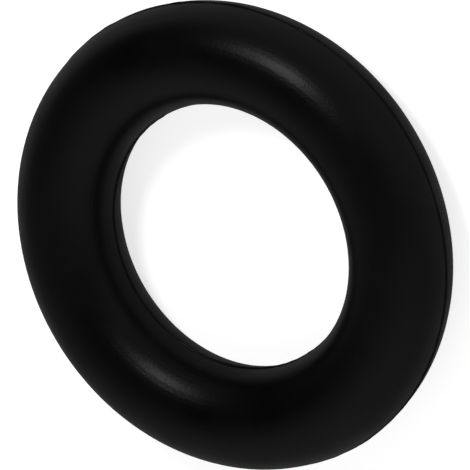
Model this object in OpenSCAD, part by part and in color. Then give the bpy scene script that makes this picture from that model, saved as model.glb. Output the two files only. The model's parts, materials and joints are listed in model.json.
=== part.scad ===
// Rubber o-ring: a round rubber section carried round a circle. The two halves of its
// mould meet at mid-height, and leave a fine trimmed line on its inside and its outside.
// The ring lies flat: its axis is Z and its centre is the origin.

/* [Ring] */
// Inside diameter of the ring, on the round of the section
inner_diameter = 8; // [4:0.1:60]
// Diameter of the round section
section_diameter = 3; // [1.5:0.1:7]

/* [Parting line] */
// How far the trimmed line stands out from the round of the section
line_height = 0.04; // [0.02:0.01:0.1]
// Width of the flat crest that trimming leaves on the line
line_crest_width = 0.06; // [0.02:0.01:0.12]
// Angle at which each flank of the line leans away from its crest, in degrees
line_flank_angle = 30; // [10:1:45]

/* [Look] */
// Colour of the rubber
rubber_colour = "#161616"; // [#161616:black, #5b3a26:brown, #1f5a3c:green, #a8442c:red]

/* [Hidden] */
// Steps round the ring and round its section
ring_steps = 180;
section_steps = 96;
// Radius of the round section
section_radius = section_diameter / 2;
// Radius of the circle that the middle of the section follows
middle_radius = inner_diameter / 2 + section_radius;
// Both lines lie at mid-height: one faces away from the ring's axis, and one towards it
line_turns = [0, 180];

// One parting line, seen in section from the section's middle: a flat crest between two
// sloping flanks. The flanks run on as far below the round as the crest stands above it.
module line_outline() {
    crest = section_radius + line_height;
    foot = section_radius - line_height;
    crest_half = line_crest_width / 2;
    foot_half = crest_half + (crest - foot) * tan(line_flank_angle);
    polygon([
        [foot, -foot_half],
        [crest, -crest_half],
        [crest, crest_half],
        [foot, foot_half]
    ]);
}

// The whole section: the round with a parting line on each side
module section_outline() {
    circle(r = section_radius, $fn = section_steps);
    for (turn = line_turns)
        rotate(turn)
            line_outline();
}

module o_ring() {
    color(rubber_colour)
        rotate_extrude($fn = ring_steps)
            translate([middle_radius, 0])
                section_outline();
}

o_ring();
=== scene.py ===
"""A rubber o-ring lying flat on a pale floor, seen from above.

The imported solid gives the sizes. The ring is made here as one fine, even surface, with the small
unevenness that trimming leaves on the line where the halves of its mould met."""

import json
import math

import bpy
import numpy as np
from mathutils import Matrix, Vector


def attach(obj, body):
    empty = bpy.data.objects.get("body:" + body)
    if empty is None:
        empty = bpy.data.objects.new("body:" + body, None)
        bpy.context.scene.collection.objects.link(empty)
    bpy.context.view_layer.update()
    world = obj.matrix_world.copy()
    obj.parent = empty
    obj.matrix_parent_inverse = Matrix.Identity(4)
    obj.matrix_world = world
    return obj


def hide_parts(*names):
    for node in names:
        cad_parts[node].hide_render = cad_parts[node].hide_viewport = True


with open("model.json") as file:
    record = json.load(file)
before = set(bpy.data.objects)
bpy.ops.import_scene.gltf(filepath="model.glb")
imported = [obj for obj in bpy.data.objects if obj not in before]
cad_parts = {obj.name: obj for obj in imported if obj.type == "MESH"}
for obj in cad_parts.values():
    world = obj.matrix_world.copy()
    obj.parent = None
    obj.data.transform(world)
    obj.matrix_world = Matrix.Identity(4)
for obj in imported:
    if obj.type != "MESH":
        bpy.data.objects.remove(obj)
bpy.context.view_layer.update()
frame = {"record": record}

bl_info = {
    "name": "Rubber o-ring",
    "version": (1, 0, 0),
    "blender": (4, 5, 0),
    "location": "3D View > Sidebar > O-ring",
    "description": "Makes a moulded rubber o-ring and the small studio that shows it",
    "category": "Add Mesh",
}

MM = 0.001

# The ring's sizes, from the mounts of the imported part: the crests of its two parting lines, and the
# top of its section
MOUNTS = {mount["name"]: mount for mount in frame["record"]["mounts"]}
INNER_CREST = MOUNTS["inner_line"]["dims"]["r_mm"] * MM
OUTER_CREST = MOUNTS["outer_line"]["dims"]["r_mm"] * MM
CREST_WIDTH = MOUNTS["outer_line"]["dims"]["length_mm"] * MM
MIDDLE_RADIUS = MOUNTS["upper_crown"]["pos_m"][0]
SECTION_RADIUS = MOUNTS["upper_crown"]["pos_m"][2]
LINE_HEIGHT = (OUTER_CREST - INNER_CREST) / 2 - SECTION_RADIUS

# The ring's mesh
RING_STEPS = 600        # quads round the ring
ROUND_STEPS = 46        # quads over each half of the round section
LINE_STEPS = 24         # quads across each parting line
LINE_BAND = 0.07        # half the angle of the section that holds a parting line, in radians
CORNER = 0.012 * MM     # how widely the corners of the line are rounded
CREST_COSINE = 0.5      # the straight crest is followed round the section as far as this cosine

# The wear of the parting line, as waves of these numbers of turns round the ring
WEAR_SEED = 8
WEAR_WAVES = np.arange(3, 90)

# The hollows that moulding leaves, as waves round the ring and round its section
HOLLOW_SEED = 5
HOLLOW_WAVES = 240                      # how many waves add up to the hollows
HOLLOW_TURNS = np.array([90, 22])       # the most turns of a wave round the ring, and round the section
HOLLOW_FINENESS = 2                     # waves finer than this are weaker, in radians per millimetre
HOLLOW_FALL = 1.5                       # the power of a wave's fineness by which it is weaker

# The ring's map: four strips, each a quarter of the ring unrolled, two by two with a margin round each
MAP_NAME = "OFBake"
MAP_MARGIN = 0.006
LINE_MAGNIFIED = 4      # how many times as wide a parting line is in the map as the round beside it

# The rubber's surface, in millimetres
BLOOM_PATCH = 1.6       # the soft patches where wax has bloomed
TUMBLED_GRAIN = 0.07    # the grain that tumbling leaves
TURNED_SPACING = 0.1    # the lines that run round the ring, where its mould was turned
RELIEF = 0.005          # how far the grain and the turned lines stand out
TRIMMED_FULL = 0.03     # up to this height from the middle of the parting line it is torn all over,
TRIMMED_END = 0.08      # and past this height it isn't torn

# The levels of the patches, from 0 to 1, at which the bloom begins to show and is full: in the
# rubber's colour, and as a haze on its film
BLOOM_EDGE = 0.35, 0.7
HAZE_EDGE = 0.3, 0.7

# The wax film that gives the rubber its gloss
FILM_IOR = 1.5
FILM_ROUGHNESS = 0.31
THICK_FILM, THIN_FILM = 1.2, 0.8    # shares of the gloss, on the clear rubber and on the bloomed
TORN_FILM = 0.5                     # the share that trimming leaves of the film

# The floor
FLOOR_SIZE = 4.0        # in metres, so wide that its edge is never seen
BOARD_GRAIN = 0.4       # the grain of its paint, in millimetres
BOARD_SHADES = 0.97, 1.03

# The camera. The ring's axis points this far to the right and up in the picture, and its outline is
# this long, in pixels, from end to end; it runs slantwise, so it is longer than the picture is wide.
AXIS_RIGHT, AXIS_UP = -0.499, -0.297
OUTLINE_PIXELS, PICTURE_PIXELS = 487.4, 470
LENS, SENSOR = 1500.0, 36.0     # in millimetres: so long a lens that there is almost no perspective

# The lamp, as a direction in the picture: to the right, up, and towards the camera
LAMP_DIRECTION = (-0.441, 0.392, 0.807)
LAMP_DISTANCE = 0.07

# The sky's glows: the direction that each is brightest towards, and the cosines of the angles from it
# at which the glow begins and is full. One is wide and comes from low on the left. The others are
# large soft boxes, one in front and to the right, and one behind and to the left.
SIDE_GLOW = Vector((-0.68, 0.16, -0.715)), -0.85, 0.1
FRONT_BOX = Vector((0.625, -0.772, 0.113)), 0.36, 0.91
BACK_BOX = Vector((-0.758, 0.386, 0.526)), 0.18, 1.0
HORIZON = 0.06      # the sky is white below the horizon, and from this height up it has its glows alone


def linear(hex_colour):
    """The linear colour, with alpha 1, of an sRGB hex value such as #0b0b0b."""
    parts = [int(hex_colour[i:i + 2], 16) / 255 for i in (1, 3, 5)]
    return tuple(c / 12.92 if c <= 0.04045 else ((c + 0.055) / 1.055) ** 2.4 for c in parts) + (1.0,)


class RingSizes(bpy.types.PropertyGroup):
    """The sizes of the ring"""
    middle_radius: bpy.props.FloatProperty(
        name="Middle radius", description="Radius of the circle that the middle of the section follows",
        default=MIDDLE_RADIUS, min=0.001, precision=5, unit="LENGTH")
    section_radius: bpy.props.FloatProperty(
        name="Section radius", description="Radius of the round section",
        default=SECTION_RADIUS, min=0.0005, precision=5, unit="LENGTH")
    line_height: bpy.props.FloatProperty(
        name="Line height", description="How far the parting line stands out from the round section",
        default=LINE_HEIGHT, min=0.0, precision=6, unit="LENGTH")
    line_crest: bpy.props.FloatProperty(
        name="Line crest", description="Width of the flat crest of the parting line",
        default=CREST_WIDTH, min=0.0, precision=6, unit="LENGTH")
    line_flank: bpy.props.FloatProperty(
        name="Line flank", description="Angle at which each flank of the line leans away from its crest",
        default=math.radians(30), min=0.1, max=0.8, subtype="ANGLE")
    hollow_depth: bpy.props.FloatProperty(
        name="Hollow depth", description="Depth of the deepest of the hollows that moulding leaves",
        default=0.007 * MM, min=0.0, precision=6, unit="LENGTH")
    line_wear: bpy.props.FloatProperty(
        name="Line wear", description="The most that trimming takes, as a share of the line's height",
        default=0.5, min=0.0, max=1.0, subtype="FACTOR")


class RubberLook(bpy.types.PropertyGroup):
    """The colours and the gloss of the rubber"""
    body_colour: bpy.props.FloatVectorProperty(
        name="Rubber", description="Colour of the rubber",
        default=linear("#030303"), size=4, min=0.0, max=1.0, subtype="COLOR")
    bloom_colour: bpy.props.FloatVectorProperty(
        name="Bloom", description="Colour where wax has bloomed to the surface",
        default=linear("#070707"), size=4, min=0.0, max=1.0, subtype="COLOR")
    gloss: bpy.props.FloatProperty(
        name="Gloss", description="How much of the surface the waxy film covers",
        default=0.112, min=0.0, max=1.0, subtype="FACTOR")


class StudioLook(bpy.types.PropertyGroup):
    """The floor and the light"""
    floor_colour: bpy.props.FloatVectorProperty(
        name="Floor", description="Colour of the floor",
        default=linear("#c0c0c0"), size=4, min=0.0, max=1.0, subtype="COLOR")
    floor_glow: bpy.props.FloatProperty(
        name="Floor glow", description="Radiance added to the floor as it is seen, where 1 is white",
        default=0.7, min=0.0, max=1.0)
    side_level: bpy.props.FloatProperty(
        name="Side glow", description="Radiance of the sky on its bright side",
        default=0.92, min=0.0, max=2.0)
    front_level: bpy.props.FloatProperty(
        name="Front box", description="Radiance of the soft box in front",
        default=0.92, min=0.0, max=2.0)
    back_level: bpy.props.FloatProperty(
        name="Back box", description="Radiance of the soft box behind",
        default=0.46, min=0.0, max=2.0)
    lamp_level: bpy.props.FloatProperty(
        name="Lamp level", description="How bright the lamp makes a white card that faces it",
        default=0.6, min=0.0, max=2.0)
    lamp_width: bpy.props.FloatProperty(
        name="Lamp width", description="Width of the round lamp",
        default=0.021, min=0.001, precision=4, unit="LENGTH")


def add_node(tree, kind, settings=None, inputs=None):
    """Add a node, with its settings by name, and its inputs by name or number.

    An input that is given a socket is linked to it, and one that is given a value is set to it."""
    node = tree.nodes.new(kind)
    for name, value in (settings or {}).items():
        setattr(node, name, value)
    for key, value in (inputs or {}).items():
        if isinstance(value, bpy.types.NodeSocket):
            tree.links.new(value, node.inputs[key])
        else:
            node.inputs[key].default_value = value
    return node


def empty_material(name):
    """A new material with no nodes in its tree."""
    material = bpy.data.materials.new(name)
    material.use_nodes = True
    material.node_tree.nodes.clear()
    return material


def moulded_nitrile_rubber(look):
    """Nitrile rubber filled with carbon black, moulded in a turned steel cavity and then tumbled.

    The eye sees an almost black body with a soft satin gloss from the wax that blooms out of it. It
    has a fine grain from the tumbling, faint lines that run round the ring where the cavity was
    turned, and a duller torn crest on the parting line. The body has no gloss apart from the film's."""
    material = empty_material("moulded_nitrile_rubber")
    tree = material.node_tree

    # Places in millimetres, and those on the section: how far out from the ring's axis, and how high
    where = add_node(tree, "ShaderNodeTexCoord").outputs["Object"]
    place = add_node(tree, "ShaderNodeVectorMath", {"operation": "SCALE"},
                     {0: where, "Scale": 1 / MM}).outputs[0]
    parts = add_node(tree, "ShaderNodeSeparateXYZ", None, {0: place})
    level = add_node(tree, "ShaderNodeVectorMath", {"operation": "MULTIPLY"},
                     {0: place, 1: (1, 1, 0)}).outputs[0]
    reach = add_node(tree, "ShaderNodeVectorMath", {"operation": "LENGTH"}, {0: level}).outputs["Value"]
    section = add_node(tree, "ShaderNodeCombineXYZ", None,
                       {"X": reach, "Z": parts.outputs["Z"]}).outputs[0]

    patches = add_node(tree, "ShaderNodeTexNoise", None,
                       {"Vector": place, "Scale": 1 / BLOOM_PATCH,
                        "Detail": 4.0, "Roughness": 0.6}).outputs["Fac"]
    grain = add_node(tree, "ShaderNodeTexNoise", None,
                     {"Vector": place, "Scale": 1 / TUMBLED_GRAIN,
                      "Detail": 3.0, "Roughness": 0.65}).outputs["Fac"]
    # The turned lines are the same all round the ring, because they follow its section
    lines = add_node(tree, "ShaderNodeTexNoise", None,
                     {"Vector": section, "Scale": 1 / TURNED_SPACING,
                      "Detail": 2.0, "Roughness": 0.5}).outputs["Fac"]
    height = add_node(tree, "ShaderNodeMath", {"operation": "ABSOLUTE"},
                      {0: parts.outputs["Z"]}).outputs[0]
    trimmed = add_node(tree, "ShaderNodeMapRange", {"interpolation_type": "SMOOTHSTEP"},
                       {"Value": height, "From Min": TRIMMED_END, "From Max": TRIMMED_FULL}).outputs[0]

    # The rubber is paler where wax has bloomed, and where trimming tore it
    bloom = add_node(tree, "ShaderNodeMapRange", {"interpolation_type": "SMOOTHSTEP"},
                     {"Value": patches, "From Min": BLOOM_EDGE[0], "From Max": BLOOM_EDGE[1]}).outputs[0]
    pale = add_node(tree, "ShaderNodeMath", {"operation": "MAXIMUM"}, {0: bloom, 1: trimmed}).outputs[0]
    colour = add_node(tree, "ShaderNodeMix", {"data_type": "RGBA"},
                      {"Factor": pale, "A": look.body_colour, "B": look.bloom_colour}).outputs["Result"]
    lined = add_node(tree, "ShaderNodeBump", None, {"Height": lines, "Distance": RELIEF * MM}).outputs[0]
    grained = add_node(tree, "ShaderNodeBump", None,
                       {"Height": grain, "Distance": RELIEF * MM, "Normal": lined}).outputs[0]

    # The film is thinner where the wax has bloomed to a haze, and thinner again where the crest is torn
    film = add_node(tree, "ShaderNodeMapRange", None,
                    {"Value": patches, "From Min": HAZE_EDGE[0], "From Max": HAZE_EDGE[1],
                     "To Min": THICK_FILM * look.gloss, "To Max": THIN_FILM * look.gloss}).outputs[0]
    torn = add_node(tree, "ShaderNodeMapRange", None,
                    {"Value": trimmed, "To Min": 1.0, "To Max": TORN_FILM}).outputs[0]
    cover = add_node(tree, "ShaderNodeMath", {"operation": "MULTIPLY"}, {0: film, 1: torn}).outputs[0]
    shader = add_node(tree, "ShaderNodeBsdfPrincipled", None, {
        "Base Color": colour,
        "Roughness": FILM_ROUGHNESS,
        "Specular IOR Level": 0.0,
        "Coat Weight": cover,
        "Coat Roughness": FILM_ROUGHNESS,
        "Coat IOR": FILM_IOR,
        "Normal": grained,
        "Coat Normal": grained,
    })
    add_node(tree, "ShaderNodeOutputMaterial", None, {"Surface": shader.outputs[0]})
    return material


def seen_directly(tree):
    """A socket that is 1 for rays from the camera, off a gloss and through glass, and 0 for the rest."""
    path = add_node(tree, "ShaderNodeLightPath")
    first = add_node(tree, "ShaderNodeMath", {"operation": "MAXIMUM"},
                     {0: path.outputs["Is Camera Ray"], 1: path.outputs["Is Glossy Ray"]}).outputs[0]
    return add_node(tree, "ShaderNodeMath", {"operation": "MAXIMUM"},
                    {0: first, 1: path.outputs["Is Transmission Ray"]}).outputs[0]


def painted_board(look):
    """Smooth board painted a pale matt grey.

    A glow on it as it is seen makes it as white as the picture's ground, less the ring's shadow."""
    material = empty_material("painted_board")
    tree = material.node_tree
    where = add_node(tree, "ShaderNodeTexCoord").outputs["Object"]
    grain = add_node(tree, "ShaderNodeTexNoise", None,
                     {"Vector": where, "Scale": 1 / (BOARD_GRAIN * MM), "Detail": 2.0}).outputs["Fac"]
    shade = add_node(tree, "ShaderNodeMapRange", None,
                     {"Value": grain, "To Min": BOARD_SHADES[0], "To Max": BOARD_SHADES[1]}).outputs[0]
    tinted = add_node(tree, "ShaderNodeVectorMath", {"operation": "SCALE"},
                      {0: look.floor_colour[:3], "Scale": shade}).outputs[0]
    paint = add_node(tree, "ShaderNodeBsdfDiffuse", None, {"Color": tinted}).outputs[0]
    strength = add_node(tree, "ShaderNodeMath", {"operation": "MULTIPLY"},
                        {0: seen_directly(tree), 1: look.floor_glow}).outputs[0]
    glow = add_node(tree, "ShaderNodeEmission", None, {"Strength": strength}).outputs[0]
    both = add_node(tree, "ShaderNodeAddShader", None, {0: paint, 1: glow}).outputs[0]
    add_node(tree, "ShaderNodeOutputMaterial", None, {"Surface": both})
    return material


def smooth_least(a, b, width):
    """The lesser of two arrays, with the corner between them rounded.

    The corner is where they differ by less than the width. There the share of the first goes evenly
    from 0 to 1, and the product of both shares and the width is taken off."""
    share = np.clip(0.5 + 0.5 * (b - a) / width, 0, 1)
    return b + (a - b) * share - width * share * (1 - share)


def ring_turns():
    """Angles round the ring's axis, evenly spaced over a whole turn."""
    return np.linspace(0, 2 * np.pi, RING_STEPS, endpoint=False)


def section_angles():
    """Angles round the section, closer together across the parting lines, at 0 and at half a turn."""
    line = np.linspace(-LINE_BAND, LINE_BAND, LINE_STEPS, endpoint=False)
    half = np.linspace(LINE_BAND, np.pi - LINE_BAND, ROUND_STEPS, endpoint=False)
    return np.concatenate([line, half, line + np.pi, half + np.pi])


def trim_wear():
    """How much trimming took off the parting line, from 0 to 1, at each step round the ring.

    It is a sum of waves, each of a whole number of turns so that the ends meet, and weaker the finer
    it is."""
    rng = np.random.default_rng(WEAR_SEED)
    phase = rng.uniform(0, 2 * np.pi, len(WEAR_WAVES))
    wave = np.cos(ring_turns()[:, None] * WEAR_WAVES + phase) / np.sqrt(WEAR_WAVES)
    total = wave.sum(1)
    return (total - total.min()) / np.ptp(total)


def moulded_hollows(sizes):
    """How far the surface lies under the true round, from 0 to 1, at each step both ways round.

    It is a sum of waves, each of a whole number of turns both ways so that the ends meet, and weaker
    the finer it is. The cosine of a sum of two angles is split into products, so that the whole sum is
    two products of matrices."""
    rng = np.random.default_rng(HOLLOW_SEED)
    along, across = rng.uniform(-1, 1, (2, HOLLOW_WAVES)) * HOLLOW_TURNS[:, None]
    along, across = along.round(), across.round()
    phase = rng.uniform(0, 2 * np.pi, HOLLOW_WAVES)
    fineness = np.hypot(along / sizes.middle_radius, across / sizes.section_radius) * MM
    strength = 1 / np.maximum(fineness, HOLLOW_FINENESS) ** HOLLOW_FALL
    turn = ring_turns()[:, None] * along + phase
    angle = section_angles()[:, None] * across
    total = (np.cos(turn) * strength) @ np.cos(angle).T - (np.sin(turn) * strength) @ np.sin(angle).T
    return (total - total.min()) / np.ptp(total)


def ring_surface(sizes):
    """The ring's vertices, as an array of steps round the ring by steps round its section.

    At an angle from the nearer parting line, the section reaches as far as its round, or further where
    the line stands out: there it reaches to the lesser of the straight crest and the straight flank.
    Each point of the section, less the depth of the hollow there, is then carried round the axis at
    the middle radius."""
    angle = section_angles()[None, :]
    height = (sizes.line_height * (1 - sizes.line_wear * trim_wear()))[:, None]
    off_line = np.abs((angle + np.pi / 2) % np.pi - np.pi / 2)
    crest_reach = sizes.section_radius + height
    slope = math.tan(sizes.line_flank)
    crest = crest_reach / np.maximum(np.cos(off_line), CREST_COSINE)
    flank = (sizes.line_crest / 2 + crest_reach * slope) / (np.cos(off_line) * slope + np.sin(off_line))
    line = smooth_least(crest, flank, CORNER)
    outline = -smooth_least(-line, np.full_like(line, -sizes.section_radius), CORNER)
    reach = outline - sizes.hollow_depth * moulded_hollows(sizes)
    turn = ring_turns()[:, None]
    out = sizes.middle_radius + reach * np.cos(angle)
    return np.stack([out * np.cos(turn), out * np.sin(turn), reach * np.sin(angle)], -1)


def closed_grid_faces(rows, columns):
    """The quads of a grid whose last row and last column join its first, facing outwards on a ring."""
    row, column = np.meshgrid(np.arange(rows), np.arange(columns), indexing="ij")
    next_row, next_column = (row + 1) % rows, (column + 1) % columns
    corners = [row * columns + column, next_row * columns + column,
               next_row * columns + next_column, row * columns + next_column]
    return np.stack(corners, -1).reshape(-1, 4)


def quarter_strips(rows):
    """The place in the ring's map of each quad's four corners.

    A corner's place along its strip is its share of a quarter turn. Its place across is its share of
    the way round the section, in which the bands of the parting lines count several times over."""
    angle = section_angles()
    step = np.diff(angle, append=angle[0] + 2 * np.pi)
    off_line = np.abs((angle + step / 2 + np.pi / 2) % np.pi - np.pi / 2)
    width = step * np.where(off_line < LINE_BAND, LINE_MAGNIFIED, 1)
    across = np.concatenate([[0], np.cumsum(width)]) / width.sum()
    row, column = np.meshgrid(np.arange(rows), np.arange(len(angle)), indexing="ij")
    quarter, step_along = np.divmod(row, rows // 4)
    along = [step_along, step_along + 1, step_along + 1, step_along]
    place = np.stack([np.stack(along, -1) / (rows // 4),
                      across[np.stack([column, column, column + 1, column + 1], -1)]], -1)
    corner = np.stack([quarter % 2, quarter // 2], -1) / 2 + MAP_MARGIN
    return (corner[:, :, None, :] + place * (0.5 - 2 * MAP_MARGIN)).reshape(-1, 2)


def mesh_piece(name, vertices, quads, material):
    """A new smooth-shaded object at the origin, from arrays of vertices and quads."""
    mesh = bpy.data.meshes.new(name)
    mesh.vertices.add(len(vertices))
    mesh.vertices.foreach_set("co", vertices.astype(np.float32).ravel())
    mesh.loops.add(quads.size)
    mesh.loops.foreach_set("vertex_index", quads.astype(np.int32).ravel())
    mesh.polygons.add(len(quads))
    mesh.polygons.foreach_set("loop_start", np.arange(0, quads.size, 4, dtype=np.int32))
    mesh.update(calc_edges=True)
    mesh.polygons.foreach_set("use_smooth", np.ones(len(quads), bool))
    mesh.validate()
    mesh.materials.append(material)
    piece = bpy.data.objects.new(name, mesh)
    bpy.context.scene.collection.objects.link(piece)
    return piece


def camera_turn():
    """The camera's rotation, from where the ring's axis points in the picture.

    Its rows are the ring's X, Y and Z as the camera sees them. Z is the ring's axis. X lies in the
    plane of the picture, square to Z, and Y is square to both."""
    axis = Vector((AXIS_RIGHT, AXIS_UP, math.sqrt(1 - AXIS_RIGHT ** 2 - AXIS_UP ** 2)))
    side = axis.cross(Vector((0, 0, 1))).normalized()
    return Matrix((side, axis.cross(side), axis))


class ORING_OT_ring(bpy.types.Operator):
    """Make the rubber ring, with its parting lines"""
    bl_idname = "mesh.o_ring_add"
    bl_label = "Ring"
    bl_options = {"REGISTER", "UNDO"}

    def execute(self, context):
        sizes, look = context.scene.o_ring_sizes, context.scene.o_ring_rubber
        vertices = ring_surface(sizes)
        quads = closed_grid_faces(*vertices.shape[:2])
        piece = mesh_piece("rubber_ring", vertices.reshape(-1, 3), quads, moulded_nitrile_rubber(look))
        strips = quarter_strips(len(vertices)).astype(np.float32)
        piece.data.uv_layers.new(name=MAP_NAME).data.foreach_set("uv", strips.ravel())
        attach(piece, "root")
        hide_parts("o_ring")
        return {"FINISHED"}


class ORING_OT_stage(bpy.types.Operator):
    """Make the floor, the light and the camera"""
    bl_idname = "scene.o_ring_stage"
    bl_label = "Studio"
    bl_options = {"REGISTER", "UNDO"}

    def execute(self, context):
        scene, look = context.scene, context.scene.o_ring_studio
        turn = camera_turn()
        self.make_camera(scene, turn)
        self.make_lamp(scene, look, turn @ Vector(LAMP_DIRECTION).normalized())
        self.make_sky(scene, look)
        self.make_floor(look)
        scene.view_settings.view_transform = "Standard"
        return {"FINISHED"}

    def make_camera(self, scene, turn):
        """A camera so far off that the ring's outline is as long in the picture as it should be.

        The ring's nearer side looks a little larger, so the middle of its outline lies off its axis.
        It does so by the square of the middle radius over the distance, times the sine and the cosine
        of the angle between the ring's axis and the line of sight."""
        data = bpy.data.cameras.new("camera")
        data.lens, data.sensor_width = LENS, SENSOR
        camera = bpy.data.objects.new("camera", data)
        scene.collection.objects.link(camera)
        picture_share = OUTLINE_PIXELS / PICTURE_PIXELS
        distance = 2 * (MIDDLE_RADIUS + SECTION_RADIUS) / picture_share * LENS / SENSOR
        sine = math.hypot(AXIS_RIGHT, AXIS_UP)
        off_axis = MIDDLE_RADIUS ** 2 * sine * math.sqrt(1 - sine ** 2) / distance
        place = Vector((-AXIS_RIGHT * off_axis / sine, -AXIS_UP * off_axis / sine, distance))
        camera.matrix_world = Matrix.Translation(turn @ place) @ turn.to_4x4()
        scene.camera = camera

    def make_lamp(self, scene, look, towards):
        """A round soft lamp that faces the ring.

        A lamp that faces a white card makes it as bright as the lamp's power over the square of pi
        times their distance."""
        data = bpy.data.lights.new("lamp", "AREA")
        data.shape, data.size = "DISK", look.lamp_width
        data.energy = look.lamp_level * (math.pi * LAMP_DISTANCE) ** 2
        lamp = bpy.data.objects.new("lamp", data)
        scene.collection.objects.link(lamp)
        lamp.matrix_world = (Matrix.Translation(towards * LAMP_DISTANCE)
                             @ towards.to_track_quat("Z", "Y").to_matrix().to_4x4())

    def make_sky(self, scene, look):
        """A sky that is the sum of its three glows, and white below the horizon."""
        world = bpy.data.worlds.new("sky")
        world.use_nodes = True
        tree = world.node_tree
        tree.nodes.clear()
        towards = add_node(tree, "ShaderNodeTexCoord").outputs["Generated"]
        height = add_node(tree, "ShaderNodeSeparateXYZ", None, {0: towards}).outputs["Z"]
        glows = (SIDE_GLOW, look.side_level), (FRONT_BOX, look.front_level), (BACK_BOX, look.back_level)
        level = 0.0
        for (middle, begins, full), peak in glows:
            lean = add_node(tree, "ShaderNodeVectorMath", {"operation": "DOT_PRODUCT"},
                            {0: towards, 1: middle}).outputs["Value"]
            glow = add_node(tree, "ShaderNodeMapRange", {"interpolation_type": "SMOOTHSTEP"},
                            {"Value": lean, "From Min": begins, "From Max": full,
                             "To Max": peak}).outputs[0]
            level = add_node(tree, "ShaderNodeMath", {"operation": "ADD"},
                             {0: level, 1: glow}).outputs[0]
        strength = add_node(tree, "ShaderNodeMapRange", {"interpolation_type": "SMOOTHSTEP"},
                            {"Value": height, "From Min": 0.0, "From Max": HORIZON,
                             "To Min": 1.0, "To Max": level}).outputs[0]
        light = add_node(tree, "ShaderNodeBackground", None,
                         {"Color": (1, 1, 1, 1), "Strength": strength})
        add_node(tree, "ShaderNodeOutputWorld", None, {"Surface": light.outputs[0]})
        scene.world = world

    def make_floor(self, look):
        """A level square of board under the ring's lowest points."""
        half = FLOOR_SIZE / 2
        corners = np.array([(-half, -half), (half, -half), (half, half), (-half, half)])
        vertices = np.column_stack([corners, np.full(4, -SECTION_RADIUS)])
        floor = mesh_piece("floor", vertices, np.arange(4)[None, :], painted_board(look))


class ORING_PT_panel(bpy.types.Panel):
    """Lists the sizes and colours of the o-ring, and the operators that make it and its studio"""
    bl_label = "Rubber o-ring"
    bl_idname = "ORING_PT_panel"
    bl_space_type = "VIEW_3D"
    bl_region_type = "UI"
    bl_category = "O-ring"

    def draw(self, context):
        scene = context.scene
        for group in (scene.o_ring_sizes, scene.o_ring_rubber, scene.o_ring_studio):
            box = self.layout.box()
            for name in group.__annotations__:
                box.prop(group, name)
        for operator in (ORING_OT_ring, ORING_OT_stage):
            self.layout.operator(operator.bl_idname)


CLASSES = (RingSizes, RubberLook, StudioLook, ORING_OT_ring, ORING_OT_stage, ORING_PT_panel)


def register():
    for kind in CLASSES:
        bpy.utils.register_class(kind)
    bpy.types.Scene.o_ring_sizes = bpy.props.PointerProperty(type=RingSizes)
    bpy.types.Scene.o_ring_rubber = bpy.props.PointerProperty(type=RubberLook)
    bpy.types.Scene.o_ring_studio = bpy.props.PointerProperty(type=StudioLook)


def unregister():
    del bpy.types.Scene.o_ring_sizes
    del bpy.types.Scene.o_ring_rubber
    del bpy.types.Scene.o_ring_studio
    for kind in reversed(CLASSES):
        bpy.utils.unregister_class(kind)


def main():
    """Make the ring and its studio."""
    register()
    bpy.ops.mesh.o_ring_add()
    bpy.ops.scene.o_ring_stage()


if __name__ == "__main__":
    main()
